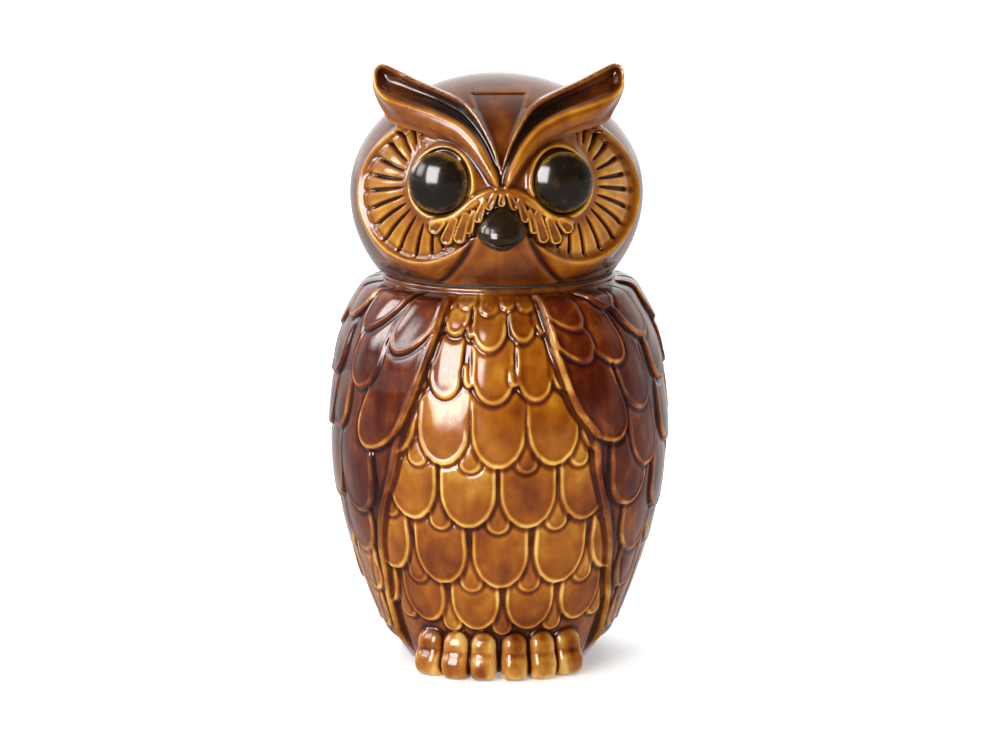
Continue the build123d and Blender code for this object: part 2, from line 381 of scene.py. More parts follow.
def wing_side(angle, z, edge):
    """Distance in degrees outward from a wing's edge, positive on the wing."""
    line = curve(edge, 8)[::-1]
    return angle - np.interp(z, line[:, 1], line[:, 0])


def toe_reach(angle, z):
    """How far out the toes' surface is from the axis, at each angle and height, and 0 where there is none."""
    reach = np.zeros_like(z)
    side = curve(TOE_SIDE, 8)
    profile = np.interp(z, side[:, 1], side[:, 0], right=0)
    half = np.interp(z, TOE_HEIGHTS, TOE_HALF_WIDTHS)
    for foot in (-1, 1):
        for place, back in TOES:
            across = np.abs(TOE_ARC * np.sin(np.radians(angle)) - foot * place) / half
            across = np.where(np.abs(angle) < 90, across, 9)
            toe = TOE_ROOT + (profile - back - TOE_ROOT) * (1 - np.clip(across, 0, 1) ** 3.6) ** 0.5
            reach = np.where(across < 1, np.maximum(reach, toe), reach)
    return reach


def body_surface():
    """Rows by columns of points of the body's outside, and what the glaze needs to know at each."""
    line, normal = body_profile()
    angle = np.linspace(-180, 180, BODY_COLUMNS, endpoint=False)
    angle, z = np.meshgrid(angle, line[:, 1])
    radius = np.broadcast_to(line[:, :1], z.shape)
    right = wing_side(-angle, z, RIGHT_WING_EDGE)
    left = wing_side(angle, z, LEFT_WING_EDGE)
    on_wing = np.maximum(right, left) * np.radians(radius)
    on_back = wing_side(180 - np.abs(angle), z, BACK_EDGE) * np.radians(radius)
    wing = smoothstep(-0.4, 1.1, on_wing)

    # the front edge of the wing is one long feather's edge, with grooves behind it lower down
    strand = 0.9 * bump(on_wing - 1.8, 1.3) + 0.8 * bump(on_back - 1.8, 1.3) * smoothstep(84, 96, z)
    strand -= 0.5 * bump(on_wing - 4.6, 1.0) * smoothstep(120, 100, z)
    strand -= 0.5 * bump(on_wing - 9.5, 0.9) * smoothstep(66, 58, z)
    wings = coat((angle, z, radius))
    on_side = smoothstep(-0.4, 1.1, on_back)
    wings[0] += WING_LIFT * on_side * smoothstep(190.5, 184, z) * smoothstep(8, 16, z) + strand
    front = breast((angle, z, radius))
    front[0] -= 0.6 * bump(on_wing + 1.2, 1.2)
    height, along, tint = front * (1 - wing) + wings * wing
    height *= smoothstep(COLLAR_LOW, 188.8, z) * smoothstep(3, 11, z)
    height = blurred(height, 2 if FINE else 1, wrap=True)
    out_r = radius + height * normal[:, :1]
    out_z = z + height * normal[:, 1:]

    feet = toe_reach(angle, out_z)
    toe = smoothstep(-1.0, 1.5, feet - out_r)
    out_r = np.where(feet > 0, soft_max(out_r, feet, 1.6), out_r)
    turn = np.radians(angle)
    points = np.stack([out_r * np.sin(turn), -out_r * np.cos(turn), out_z], -1)

    relief = out_r - radius
    passes = 10 if FINE else 5
    # Low on each wing the paler breast glaze shows through. On the -X side, which faces the windows, it is
    # paler still, and that extra paleness is painted light.
    paler_glaze_and_lit_side = np.where(angle < 0, 0.72, 0.42) * smoothstep(92, 76, np.abs(angle))  # the glaze low on each wing
    shoulder = smoothstep(187.5, 191.5, z)
    values = {
        "ridge": relief - blurred(relief, passes, wrap=True),
        "relief": relief - blurred(relief, 6 * passes, wrap=True),
        "wing": wing * (1 - toe) * (1 - shoulder) * (1 - paler_glaze_and_lit_side * smoothstep(95, 45, z)) + 0.35 * shoulder,
        "toe": toe,
        "along": along,
        "tint": tint,
    }
    return points, values


def lathe(profile, columns):
    """Rows of points of a surface of revolution, for a profile of radius and height in mm."""
    turn = np.radians(np.linspace(-180, 180, columns, endpoint=False))
    radius, height = np.array(profile, float).T
    heights = np.repeat(height[:, None], columns, 1)
    return np.stack([np.outer(radius, np.sin(turn)), -np.outer(radius, np.cos(turn)), heights], -1)


def ring_faces(rows, columns):
    """Quads of a grid of points that closes on itself round the axis."""
    r, c = np.meshgrid(np.arange(rows - 1), np.arange(columns), indexing="ij")
    here, beside = r * columns + c, r * columns + (c + 1) % columns
    return np.stack([here, beside, beside + columns, here + columns], -1).reshape(-1, 4)


def close_ends(mesh):
    """Fills the pinholes where a lathed surface meets its axis."""
    work = bmesh.new()
    work.from_mesh(mesh)
    bmesh.ops.holes_fill(work, edges=[edge for edge in work.edges if edge.is_boundary], sides=0)
    work.to_mesh(mesh)
    work.free()


def mesh_object(name, points, faces, attributes, body="jar"):
    """A smooth-shaded closed mesh from points in mm, with its own values at each point for the glaze."""
    mesh = bpy.data.meshes.new(name)
    points = np.asarray(points, np.float32).reshape(-1, 3) * MM
    faces = np.asarray(faces, np.int32)
    mesh.vertices.add(len(points))
    mesh.vertices.foreach_set("co", points.ravel())
    mesh.loops.add(faces.size)
    mesh.loops.foreach_set("vertex_index", faces.ravel())
    mesh.polygons.add(len(faces))
    mesh.polygons.foreach_set("loop_start", np.arange(0, faces.size, faces.shape[1], dtype=np.int32))
    mesh.polygons.foreach_set("use_smooth", np.ones(len(faces), bool))
    for key, values in attributes.items():
        layer = mesh.attributes.new(key, "FLOAT", "POINT")
        layer.data.foreach_set("value", np.asarray(values, np.float32).ravel())
    mesh.update(calc_edges=True)
    close_ends(mesh)
    mesh.validate()
    obj = new_object(name, mesh)
    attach(obj, body)
    return obj


def body_casting():
    """The whole body: outside, rim, mouth, inside and foot, as one closed surface."""
    points, values = body_surface()
    columns = points.shape[1]
    mouth = [
        (NECK_RADIUS - 1.3, BODY_RIM),
        (SPIGOT_RADIUS + 2.4, BODY_RIM),
        (MOUTH_RADIUS, BODY_RIM - 0.8),
        (MOUTH_RADIUS, 182),
    ]
    lining = np.vstack([mouth, curve(INSIDE_WALL, 6), [(20, FLOOR), (0.01, FLOOR)]])
    grid = np.concatenate([lathe(FOOT, columns), points, lathe(lining, columns)])
    below, above = np.zeros((len(FOOT), columns)), np.zeros((len(lining), columns))
    everything = {key: np.concatenate([below, value, above]) for key, value in values.items()}
    everything["bare"] = np.zeros((len(grid), columns))
    everything["bare"][: len(FOOT)] = 1
    return mesh_object("body_casting", grid, ring_faces(len(grid), columns), everything)


body = body_casting()
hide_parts("body_shell")


# --- head ---------------------------------------------------------------------------------------------------
# The head is worked out in its own frame, as a mirrored half, and turned into place at the end. "Arc" is the
# distance round the head from its middle line, at the head's widest radius; "depth" is -Y.
HEAD_STEP = 0.62 if FINE else 1.1
MAP_STEP = 0.25 if FINE else 0.4
FACE_CORNER = (0, 188)  # lowest arc and height in the face's maps
BROW_CORNER = (-3, 236)  # lowest offset and height in the brow's maps
SOCKET_WALL = 2.5  # left between an eye's socket and the hollow

DISC_ARC = 46.0
DISC_HEIGHT = 240.0
DISC_HALF_WIDTH = 37.5
DISC_HALF_HEIGHT = 32.5
DISC_SINK = 1.6
LIP_RISE = 2.3
GROOVE_DEPTH = 1.9
EYE_ARC = 30.9
LID_RADIUS = 17.2  # of the crest of the ring round the eye
PLATE_TOP = 284.8  # height of the forehead plate's top edge

# the disc's leaf-shaped grooves: direction from the eye in degrees, 0 outward, and where they start and end
GROOVES = [
    (48, 28, 38), (38, 27, 42), (29, 26, 43.5), (20, 25, 44.5), (10, 24, 45.5), (0, 23.5, 46.5), (-9, 23, 47),
    (-19, 22.5, 48), (-29, 22, 48.5), (-39, 21.5, 48), (-51, 21.5, 45), (-65, 22, 40), (-79, 22.5, 35.5),
    (-91, 23, 31.5),
]

# the middle line of the moustache's band, and its half width at some offsets
MOUSTACHE = [(0, 243.2), (7.5, 241), (13.5, 237.3), (19.5, 232.8), (25, 229.2), (30, 227.6), (33.2, 226.3)]
MOUSTACHE_HALF_WIDTH = [(0, 3.0), (10, 2.9), (24, 2.4), (34, 1.9)]
# the plumes that hang from it: root and tip, as offset and height, and half width at the tip
PLUMES = [
    ((0, 240.5), (0, 237.2), 2.0), ((3.4, 241.0), (5.9, 235.6), 2.1), ((8.4, 238.0), (11.0, 229.8), 2.3),
    ((13.2, 232.5), (15.2, 223.8), 2.1), ((16.8, 231.0), (19.8, 220.0), 2.9),
    ((22.3, 228.8), (25.9, 219.0), 2.9), ((28.0, 227.6), (31.4, 224.0), 2.9),
]

# lines of offset and height: the crease under the cheek, and the side of the bib
CHEEK_CREASE = [(66, 203.5), (56, 200.2), (45, 198.4), (36, 197.2), (28, 197)]
BIB_SIDE = [(13.2, 221), (15.2, 216), (18.6, 209.5), (22.5, 204), (27, 198.5), (31, 194)]
PLATE_HALF_WIDTH = [(246, 0.2), (262, 4.6), (272, 8.2), (285, 13.6)]  # the forehead plate's, by height

# brows: offset, depth and height along their crest, their upper edge, and round the tip to the lower edge
BROW_CREST = [
    (2.0, 71.6, 243.6), (2.4, 73.2, 246.8), (3.4, 73, 250.7), (6.2, 71.1, 256.5), (9.5, 69, 262.4),
    (13.7, 66.4, 267.7), (18.5, 63.3, 272), (24.5, 59.5, 275), (31.5, 55, 277.7), (39, 50.5, 279.7),
    (47, 45.5, 281.9), (53.5, 41, 284.2), (57.6, 38.6, 287.6), (59.2, 37, 292),
]
BROW_TOP = [
    (-0.6, 70.6, 245.5), (-0.4, 70.4, 249), (0.4, 69.9, 253.5), (1.9, 69.2, 259), (4.5, 66.6, 265.5),
    (7.8, 64.2, 271.8), (11.7, 61.2, 278), (16.5, 57.7, 282.9), (21.7, 53.8, 285.6), (29.4, 48, 288.6),
    (37, 43.3, 291.6), (44.2, 39, 295), (51, 35.4, 298.2), (54.6, 34.4, 299.3), (57.4, 35, 298.4),
    (59, 36, 295.6), (59.2, 37, 292),
]
BROW_UNDER = [
    (59.2, 37, 292), (59.3, 34.5, 287.5), (57.6, 33.5, 282), (54.6, 34, 276.2), (51.6, 36.5, 271.6),
    (45.7, 42, 269.6), (39.2, 47, 268.2), (31.7, 52.5, 266), (24.2, 57.6, 262.4), (17.7, 61.6, 257.2),
    (12.2, 65, 251), (7.8, 67.5, 245.2), (3.4, 70.2, 243.2), (-0.6, 70.6, 243.6), (-0.6, 70.6, 245.5),
]


def head_height(z):
    """Half height of the head's ellipse: one over its widest place and another under it."""
    return np.where(z > HEAD_MIDDLE, HEAD_RISE, HEAD_FALL)


def head_radius(z):
    return HEAD_RADIUS * np.sqrt(np.clip(1 - ((z - HEAD_MIDDLE) / head_height(z)) ** 2, 0.0004, 1))


def capsule(x, z, a, b, radius_a, radius_b):
    """Depth inside a rounded stroke from a to b, and how far along the stroke each point is."""
    run = np.subtract(b, a)
    t = np.clip(((x - a[0]) * run[0] + (z - a[1]) * run[1]) / (run @ run), 0, 1)
    return radius_a + (radius_b - radius_a) * t - np.hypot(x - a[0] - t * run[0], z - a[1] - t * run[1]), t


def map_points(corner, far_corner):
    """Two grids, of the first and the second coordinate of a map's points."""
    return np.meshgrid(*(np.arange(low, high, MAP_STEP) for low, high in zip(corner, far_corner)))


def face_maps():
    """Relief of the face over the plain head, and how dark, golden and black it is, by arc and height."""
    arc, z = map_points(FACE_CORNER, (125, 296))
    x = head_radius(z) * np.sin(arc / HEAD_RADIUS)
    x = np.where(arc > HEAD_RADIUS * math.pi / 2, 200, x)
    relief, dark, gold_and_highlight = np.zeros_like(z), np.zeros_like(z), np.zeros_like(z)

    # facial disc: sunk inside, with a rolled lip outside that swells into the cheek below
    a, b = (arc - DISC_ARC) / DISC_HALF_WIDTH, (z - DISC_HEIGHT) / DISC_HALF_HEIGHT
    q = np.hypot(a, b)
    slope = np.hypot(a / DISC_HALF_WIDTH, b / DISC_HALF_HEIGHT) / np.maximum(q, 1e-6)
    off = (q - 1) / np.maximum(slope, 1e-6)
    turn = np.degrees(np.arctan2(b, a))
    has_lip = smoothstep(78, 58, turn) * smoothstep(-158, -142, turn)
    cheek = bump(np.clip(turn + 100, -100, 100), 55)  # 1 towards the bottom of the disc
    fade = 5.5 + 5.5 * cheek
    lip = np.where(off < 2.0, smoothstep(-0.6, 2.0, off), smoothstep(2.0 + fade, 2.0, off))
    relief += LIP_RISE * lip * has_lip
    relief -= DISC_SINK * smoothstep(0.4, -2.5, off) * smoothstep(110, 70, turn)
    gold_and_highlight += 0.6 * bump(off - 1.3, 1.2) * has_lip + 0.5 * smoothstep(0.5, -1, off)
    dark += 0.3 * smoothstep(206, 198, z) + 0.25 * smoothstep(2.5, 9, off) * smoothstep(30, 45, x)
    dark += 0.2 * bump(off + 0.9, 0.8) * has_lip
    distance, _ = line_distance(x, z, curve(CHEEK_CREASE))
    crease = smoothstep(62, 52, x) * smoothstep(26, 36, x) * bump(distance, 1.6)
    relief -= 0.8 * crease
    dark += 0.35 * crease

    # eyelid: a raised ring, fading into the disc
    du, dz = arc - EYE_ARC, z - EYE_HEIGHT
    from_eye = np.hypot(du, dz)
    relief += 1.3 * bump(from_eye - LID_RADIUS, 1.2) + 0.9 * smoothstep(22.5, 16.5, from_eye)
    relief -= 1.0 * smoothstep(16.4, 15.4, from_eye)
    gold_and_highlight += 0.5 * bump(from_eye - 17.4, 1.2)
    # The black ring on the socket wall is painted shade in the gap round the eye.
    black = 0.7 * smoothstep(16.5, 15.9, from_eye)

    # grooves that fan out from the eye, with the rays between them slightly full
    cut, nearest = np.zeros_like(z), np.full(z.shape, 9.0)
    for degrees, start, end in GROOVES:
        way = math.radians(degrees)
        along = du * math.cos(way) + dz * math.sin(way)
        across = np.abs(dz * math.cos(way) - du * math.sin(way))
        t = (along - start) / (end - start)
        width = 0.3 + 0.75 * np.sqrt(np.clip(t, 0, 1)) * np.sqrt(np.clip((1.06 - t) / 0.2, 0, 1))
        ends = smoothstep(-0.08, 0.12, t) * smoothstep(1.06, 0.96, t)
        cut = np.maximum(cut, np.exp(-np.abs(across / width) ** 3) * ends)
        nearest = np.where(along > 0, np.minimum(nearest, across), nearest)
    rays = smoothstep(21, 27, from_eye) * smoothstep(0.5, -1.5, off)
    rays *= smoothstep(60, 45, np.degrees(np.arctan2(dz, du)))
    relief += 0.35 * rays * smoothstep(0.5, 2.4, nearest) - GROOVE_DEPTH * cut
    dark += 1.2 * cut + 0.2 * rays * bump(nearest, 1.2)
    gold_and_highlight += 0.5 * rays * smoothstep(0.8, 2.2, nearest)

    # moustache: a band with plumes that hang from it, each with a raised edge
    distance, _ = line_distance(x, z, curve(MOUSTACHE))
    band = np.interp(x, *zip(*MOUSTACHE_HALF_WIDTH)) - distance
    raised = 1.9 * smoothstep(-0.5, 1.9, band)
    plume, border = np.full(z.shape, -9.0), np.zeros_like(z)
    for root, tip, half in PLUMES:
        depth, t = capsule(x, z, root, tip, 0.75 * half, half)
        dent = smoothstep(0.75, 1.7, depth) * smoothstep(0.1, 0.6, t)
        raised = np.maximum(raised, 2.1 * smoothstep(-0.3, 0.6, depth) - 0.7 * dent)
        border = np.maximum(border, bump(depth - 0.55, 0.45))
        plume = np.maximum(plume, depth)
    moustache = np.maximum(plume, band)
    sunk = smoothstep(-3.0, -0.3, plume) * smoothstep(0.2, -0.3, moustache) * smoothstep(246, 243, z)
    relief = relief * (1 - 0.8 * smoothstep(-2.0, 0.5, moustache)) + raised - 0.9 * sunk
    dark = dark * (1 - smoothstep(-0.3, 0.4, moustache)) + 0.9 * sunk
    gold_and_highlight = gold_and_highlight * (1 - 0.6 * smoothstep(-0.3, 0.8, moustache))
    # The golden band and plume edges are partly the glaze and partly painted highlight.
    gold_and_highlight += 0.65 * smoothstep(0.2, 1.4, band) + 0.6 * border

    # bib below the beak, between the cheeks
    bib, _ = line_distance(x, z, curve(BIB_SIDE))
    relief -= 1.8 * bump(bib, 1.9) * smoothstep(194, 200, z)
    dark += 0.8 * bump(bib, 1.5) * smoothstep(190, 196, z)
    dark += 0.25 * smoothstep(24, 12, x) * smoothstep(209, 203, z)
    # The golden patch in the middle of the bib is painted highlight on its bulge.
    gold_and_highlight += 0.35 * bump(np.hypot(x / 12, (z - 213) / 4), 1)

    # forehead plate: a slightly sunk panel between the brows with a beaded top edge
    top = PLATE_TOP - 0.0018 * x**2
    side = np.interp(z, *zip(*PLATE_HALF_WIDTH)) - x
    plate = smoothstep(0.9, -0.6, z - top) * smoothstep(-0.8, 0.8, side)
    relief -= 0.9 * plate * smoothstep(250, 262, z)
    dark += 0.28 * smoothstep(262, 276, z) + 0.12 * plate
    gold_and_highlight += 0.3 * bump(z - top - 0.5, 0.6) * smoothstep(15.5, 13, x)
    gold_and_highlight += 0.3 * bump(side, 0.9) * smoothstep(286, 284, z)
    gold_and_highlight += 0.3 * bump(np.hypot(x / 5, (z - 277) / 7), 1)
    return {"relief": relief, "dark": np.clip(dark, 0, 1), "gold_and_highlight": np.clip(gold_and_highlight, 0, 1), "black": black}


def brow_line(points):
    """A smooth line of offset, height and depth, with its offsets stretched towards the brow's tip."""
    offset, depth, height = np.array(points, float).T
    offset = offset * (1 + 0.022 * smoothstep(10, 50, offset))
    return curve(np.column_stack([offset, height, depth]), 8)


def filled(x, z, *lines):
    """A smooth sheet through lines of offset, height and depth: its depth at each point."""
    total, weight = np.zeros_like(x), np.zeros_like(x)
    for line in lines:
        lengths = np.hypot(*np.gradient(line[:, :2], axis=0).T)
        for (px, pz, depth), length in zip(line, lengths):
            near = length / ((x - px) ** 2 + (z - pz) ** 2 + 0.05) ** 1.6
            total += near * depth
            weight += near
    return total / weight


def brow_maps():
    """Maps of a brow by offset and height: its front's depth, its upper edge's depth, the distance inside its
    outline, and how black, dark and golden it is."""
    x, z = map_points(BROW_CORNER, (68, 306))
    crest, top, under = (brow_line(points) for points in (BROW_CREST, BROW_TOP, BROW_UNDER))
    to_crest, _ = line_distance(x, z, crest)
    to_top, top_depth = line_distance(x, z, top)
    to_under, _ = line_distance(x, z, under)
    in_channel = inside(x, z, np.vstack([crest, top[::-1]])[:, :2])
    in_brow = inside(x, z, np.vstack([top, under])[:, :2])
    edge = np.minimum(to_top, to_under) * np.where(in_brow, 1, -1)

    # the channel between the crest and the upper edge
    share = to_crest / (to_crest + to_top + 1e-6)
    room = np.minimum(to_crest, to_top)
    bowl = smoothstep(0.08, 0.4, share) * smoothstep(1.0, 0.45, share)
    wide = np.minimum(1, (to_crest + to_top) / 11)
    channel = filled(x, z, crest, top) - 4.2 * bowl * wide * smoothstep(0.1, 3.0, room)
    channel += 0.4 * bump(to_top - 1.1, 0.9)
    channel -= 0.5 * np.minimum(to_crest, 1.8) * smoothstep(1.0, 0.5, share)

    # the flank, which rolls from the crest under to the face
    across_flank = to_crest / (to_crest + to_under + 1e-6)
    roll = 2.6 * np.sin(math.pi * np.clip(across_flank, 0, 1)) * smoothstep(0, 5, to_under)
    flank = filled(x, z, crest, under) + roll
    front = np.where(in_channel, channel, flank) + 0.9 * bump(to_crest, 1.1)

    pooled = smoothstep(1.05, 0.6, share + 0.45 * smoothstep(14, 48, x))
    black = np.where(in_channel, smoothstep(0.9, 2.4, to_crest) * smoothstep(52, 24, x) * pooled, 0)
    dark = np.where(in_channel, 0.55 * smoothstep(0.5, 2.5, room), 0)
    gold_and_highlight = bump(to_crest - 0.2, 0.8) * smoothstep(0, 12, x)
    gold_and_highlight += 0.4 * bump(to_top - 0.6, 0.8) * smoothstep(20, 35, x)
    gold_and_highlight += 0.3 * bump(to_under - 1.0, 1.2) * smoothstep(10, 20, x)
    return {
        "front": blurred(front, 4 if FINE else 2),
        "top": blurred(top_depth[..., 0], 3),
        "edge": edge,
        "black": blurred(black, 3),
        "dark": blurred(dark, 3),
        "gold_and_highlight": gold_and_highlight,
    }


def sample(grid, corner, across, up):
    """Values of a map at any points, worked out between its own points. corner is the map's lowest corner."""
    rows, columns = grid.shape
    i = np.clip((across - corner[0]) / MAP_STEP, 0, columns - 1.001)
    j = np.clip((up - corner[1]) / MAP_STEP, 0, rows - 1.001)
    i0, j0 = i.astype(int), j.astype(int)
    fi, fj = i - i0, j - j0
    near = grid[j0, i0] * (1 - fi) + grid[j0, i0 + 1] * fi
    far = grid[j0 + 1, i0] * (1 - fi) + grid[j0 + 1, i0 + 1] * fi
    return near * (1 - fj) + far * fj


FACE = face_maps()
BROW = brow_maps()


def face_map(name, x, y, z):
    return sample(FACE[name], FACE_CORNER, HEAD_RADIUS * np.abs(np.arctan2(x, -y)), z)


def brow_map(name, x, z):
    return sample(BROW[name], BROW_CORNER, np.abs(x), z)


def ellipsoid(x, y, z, shrink=0.0):
    """Roughly the distance outside the head's plain form, made smaller all round by shrink."""
    radius = HEAD_RADIUS - shrink
    height = head_height(z) - shrink
    reach = np.hypot(x, y)
    up = z - HEAD_MIDDLE
    q = np.sqrt((reach / radius) ** 2 + (up / height) ** 2)
    slope = np.sqrt(reach**2 / radius**4 + up**2 / height**4) / np.maximum(q, 1e-6)
    return (q - 1) / np.maximum(slope, 1e-6)


def brow_field(x, y, z):
    """Roughly the distance outside the brows, between their front and a slope behind their upper edge. The
    factors under 1 allow for how steeply each side runs, since depth alone overstates the distance."""
    depth = -y
    front = depth - brow_map("front", x, z)
    behind = brow_map("top", x, z) - 5.5 - 0.55 * np.clip(297 - z, 0, 60) - depth
    return soft_max(soft_max(front * 0.86, behind * 0.8, 3.0), -brow_map("edge", x, z) * 0.9, 2.2)


def socket_field(x, y, z):
    """Roughly the distance outside the eyes' sockets."""
    ax, ay = EYE_AXIS
    px, py = np.abs(x) - EYE_OFFSET, y - SOCKET_FLOOR_Y
    from_wall = np.hypot(px * ay - py * ax, z - EYE_HEIGHT) - (EYE_RADIUS + SOCKET_GAP)
    return np.maximum(from_wall, -(px * ax + py * ay))


def slot_field(x, y, z):
    """Roughly the distance outside the coin slot in the back."""
    past_straight = np.maximum(np.abs(x) - (SLOT_LENGTH - SLOT_WIDTH) / 2, 0)
    return np.maximum(np.hypot(past_straight, z - SLOT_HEIGHT) - SLOT_WIDTH / 2, 30 - y)


def head_field(x, y, z):
    """Negative inside the head casting and positive outside it, in mm near its surface."""
    skin = ellipsoid(x, y, z) - face_map("relief", x, y, z) * smoothstep(6, -6, y)
    skin = soft_min(skin, brow_field(x, y, z), 2.4)
    skin = soft_max(skin, HEAD_RIM - z, 2.2)
    reach = np.hypot(x, y)
    spigot = np.maximum(np.maximum(reach - SPIGOT_RADIUS, SPIGOT_BOTTOM - z), z - (HEAD_RIM + 8))
    bore = np.maximum(reach - SPIGOT_BORE, z - (HEAD_RIM + 14))
    socket = socket_field(x, y, z)
    cavity = soft_max(ellipsoid(x, y, z, WALL), HEAD_RIM + 6 - z, 3.0)
    cavity = soft_max(cavity, SOCKET_WALL - socket, 2.0)
    solid = np.maximum(np.minimum(skin, spigot), -np.minimum(cavity, bore))
    solid = soft_max(solid, -socket, 0.5)
    return soft_max(solid, -slot_field(x, y, z), 0.8)


def field_slope(field, points, reach=0.15):
    """How fast a field changes along each axis, at each point."""
    slope = np.empty_like(points)
    for axis in range(3):
        ahead, behind = points.T.copy(), points.T.copy()
        ahead[axis] += reach
        behind[axis] -= reach
        slope[:, axis] = (field(*ahead) - field(*behind)) / (2 * reach)
    return slope


def field_mesh(field, low, high, step):
    """Points and quads of a field's zero surface, for a field that is the same on both sides of x = 0."""
    half = math.ceil(high[0] / step)
    ys = np.arange(low[1], high[1] + step, step)
    zs = np.arange(low[2], high[2] + step, step)
    y, z = np.meshgrid(ys, zs, indexing="ij")
    grid = np.empty((2 * half + 1, len(ys), len(zs)), np.float32)
    for i in range(half + 1):
        grid[half + i] = grid[half - i] = field(np.full_like(y, i * step), y, z)
    volume = openvdb.FloatGrid(4 * step)
    volume.copyFromArray(np.clip(grid / step, -3, 3))
    points, quads = volume.convertToQuads(0.0)
    points = points.astype(float) * step + [-half * step, ys[0], zs[0]]
    for _ in range(3):  # the points move onto the exact surface
        value, slope = field(*points.T), field_slope(field, points)
        size = np.maximum((slope**2).sum(1), 0.2)
        points -= np.clip(value / size, -0.4 * step, 0.4 * step)[:, None] * slope
    return points, quads


def point_normals(points, quads):
    a, b, c, d = (points[quads[:, i]] for i in range(4))
    facing = np.cross(c - a, d - b)
    total = np.zeros_like(points)
    for i in range(4):
        for axis in range(3):
            total[:, axis] += np.bincount(quads[:, i], facing[:, axis], len(points))
    return total / np.maximum(np.linalg.norm(total, axis=1), 1e-9)[:, None]


def convexity(points, quads, rounds):
    """How far each point stands over its neighbourhood, in mm: positive on ridges, negative in grooves."""
    starts = quads.T.ravel()
    ends = np.roll(quads, -1, axis=1).T.ravel()
    count = np.bincount(starts, minlength=len(points)) + np.bincount(ends, minlength=len(points))
    smooth = points.copy()
    for _ in range(rounds):
        for value in smooth.T:
            total = np.bincount(starts, value[ends], len(value))
            total += np.bincount(ends, value[starts], len(value))
            value[:] = 0.5 * value + 0.5 * total / np.maximum(count, 1)
    return ((points - smooth) * point_normals(points, quads)).sum(1)


def head_in_place(points):
    """Points of the head's own frame, in mm, moved to where the head sits in the CAD's frame."""
    c, s = math.cos(HEAD_TURN), math.sin(HEAD_TURN)
    x, y, z = np.asarray(points, float).T
    return np.stack([c * x - s * y + HEAD_SHIFT, s * x + c * y, z], 1)


def head_casting():
    """The whole head: face, brows, ring, hollow, sockets and slot, as one closed surface."""
    points, quads = field_mesh(head_field, (-76, -84, SPIGOT_BOTTOM - 2), (76, 76, 302), HEAD_STEP)
    x, y, z = points.T
    on_face = smoothstep(6, -6, y)
    off_front = np.abs(-y - brow_map("front", x, z))
    on_brow = smoothstep(-1.5, 1.0, brow_map("edge", x, z)) * smoothstep(4, 1.5, off_front)
    values = {
        "ridge": convexity(points, quads, 10 if FINE else 4),
        "relief": convexity(points, quads, 60 if FINE else 20),
    }
    for name in ("dark", "black", "gold_and_highlight"):
        values[name] = face_map(name, x, y, z) * on_face * (1 - on_brow) + brow_map(name, x, z) * on_brow
    return mesh_object("head_casting", head_in_place(points), quads, values, "head")


head = head_casting()
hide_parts("head_shell")


# --- eyes and beak ------------------------------------------------------------------------------------------
EYE_DOME = 9.2  # height of an eye's dome over its flat back
EYE_EDGE = 3.2  # height of its upright edge
BEAK_STEP = 0.4 if FINE else 0.6
BEAK_BACK = 65.0  # depth of the beak's root
BEAK_TOP = 235.4
BEAK_BOTTOM = 214.2
BEAK_PARTING = 217.8
PARTING_GAP = 0.35
LOWER_INSET = 0.9  # how far the lower half stands back inside the upper half's outline
BEAK_WIDTHS = [
    (213.4, 1.5), (214.2, 5.0), (215.6, 8.2), (217.5, 10.9), (220, 12.7), (223, 13.3), (225.8, 12.9),
    (228.5, 11.2), (231.5, 8.4), (234, 5.2), (235.8, 1.5),
]  # height and half width
BEAK_RIDGE = [
    (213.4, 76.5), (215, 78.6), (217, 80.2), (219, 81.6), (221, 82.4), (223.5, 82.0), (227, 80.2),
    (231, 77.2), (234, 74.2), (235.8, 72.2),
]  # height and depth


def eye_dome(name, side):
    """One eye: a dome with a soft rim on an upright edge. side is 1 at +X and -1 at -X."""
    rise = EYE_DOME - EYE_EDGE
    sphere = (EYE_RADIUS**2 + rise**2) / (2 * rise)
    slopes = np.linspace(0.0005, math.asin(EYE_RADIUS / sphere) * 0.985, 40 if FINE else 20)
    dome = [(sphere * math.sin(a), EYE_DOME - sphere + sphere * math.cos(a)) for a in slopes]
    profile = dome + [(EYE_RADIUS, EYE_EDGE - 0.25), (EYE_RADIUS, 0.3), (EYE_RADIUS - 0.3, 0), (0.01, 0)]
    columns = 128 if FINE else 64
    across, height, out = np.moveaxis(lathe(profile[::-1], columns), -1, 0)
    ax, ay = EYE_AXIS
    x = EYE_OFFSET + out * ax - across * ay
    y = SOCKET_FLOOR_Y + out * ay + across * ax
    points = np.stack([side * x, y, EYE_HEIGHT + height], -1).reshape(-1, 3)
    faces = ring_faces(len(profile), columns)
    rim = np.hypot(across, height) / EYE_RADIUS
    return mesh_object(name, head_in_place(points), faces[:, ::side], {"rim": rim}, "head")


def beak_depth(x, z, inset):
    """Depth of the beak's front at an offset and a height, and the distance inside its outline, with both
    drawn in by inset."""
    width = np.maximum(np.interp(z, *zip(*BEAK_WIDTHS)) - inset, 0.05)
    ridge = np.interp(z, *zip(*BEAK_RIDGE)) - inset
    across = np.clip(np.abs(x) / width, 0, 1)
    return BEAK_BACK + (ridge - BEAK_BACK) * np.sqrt(1 - across**2.2), width - np.abs(x)


def beak_parting(x):
    return BEAK_PARTING + 0.032 * x**2


def beak_field(x, y, z, inset, *cuts):
    """Roughly the distance outside the beak's form, cut by fields that each come with their blend."""
    depth, edge = beak_depth(x, z, inset)
    shape = soft_max(0.62 * (-y - depth), -edge, 1.0)
    for cut, blend in cuts + ((BEAK_BACK + y + 2, 0.3),):
        shape = soft_max(shape, cut, blend)
    return shape


def upper_beak(x, y, z):
    return beak_field(x, y, z, 0.0, (z - BEAK_TOP, 1.0), (beak_parting(x) - z, 1.1))


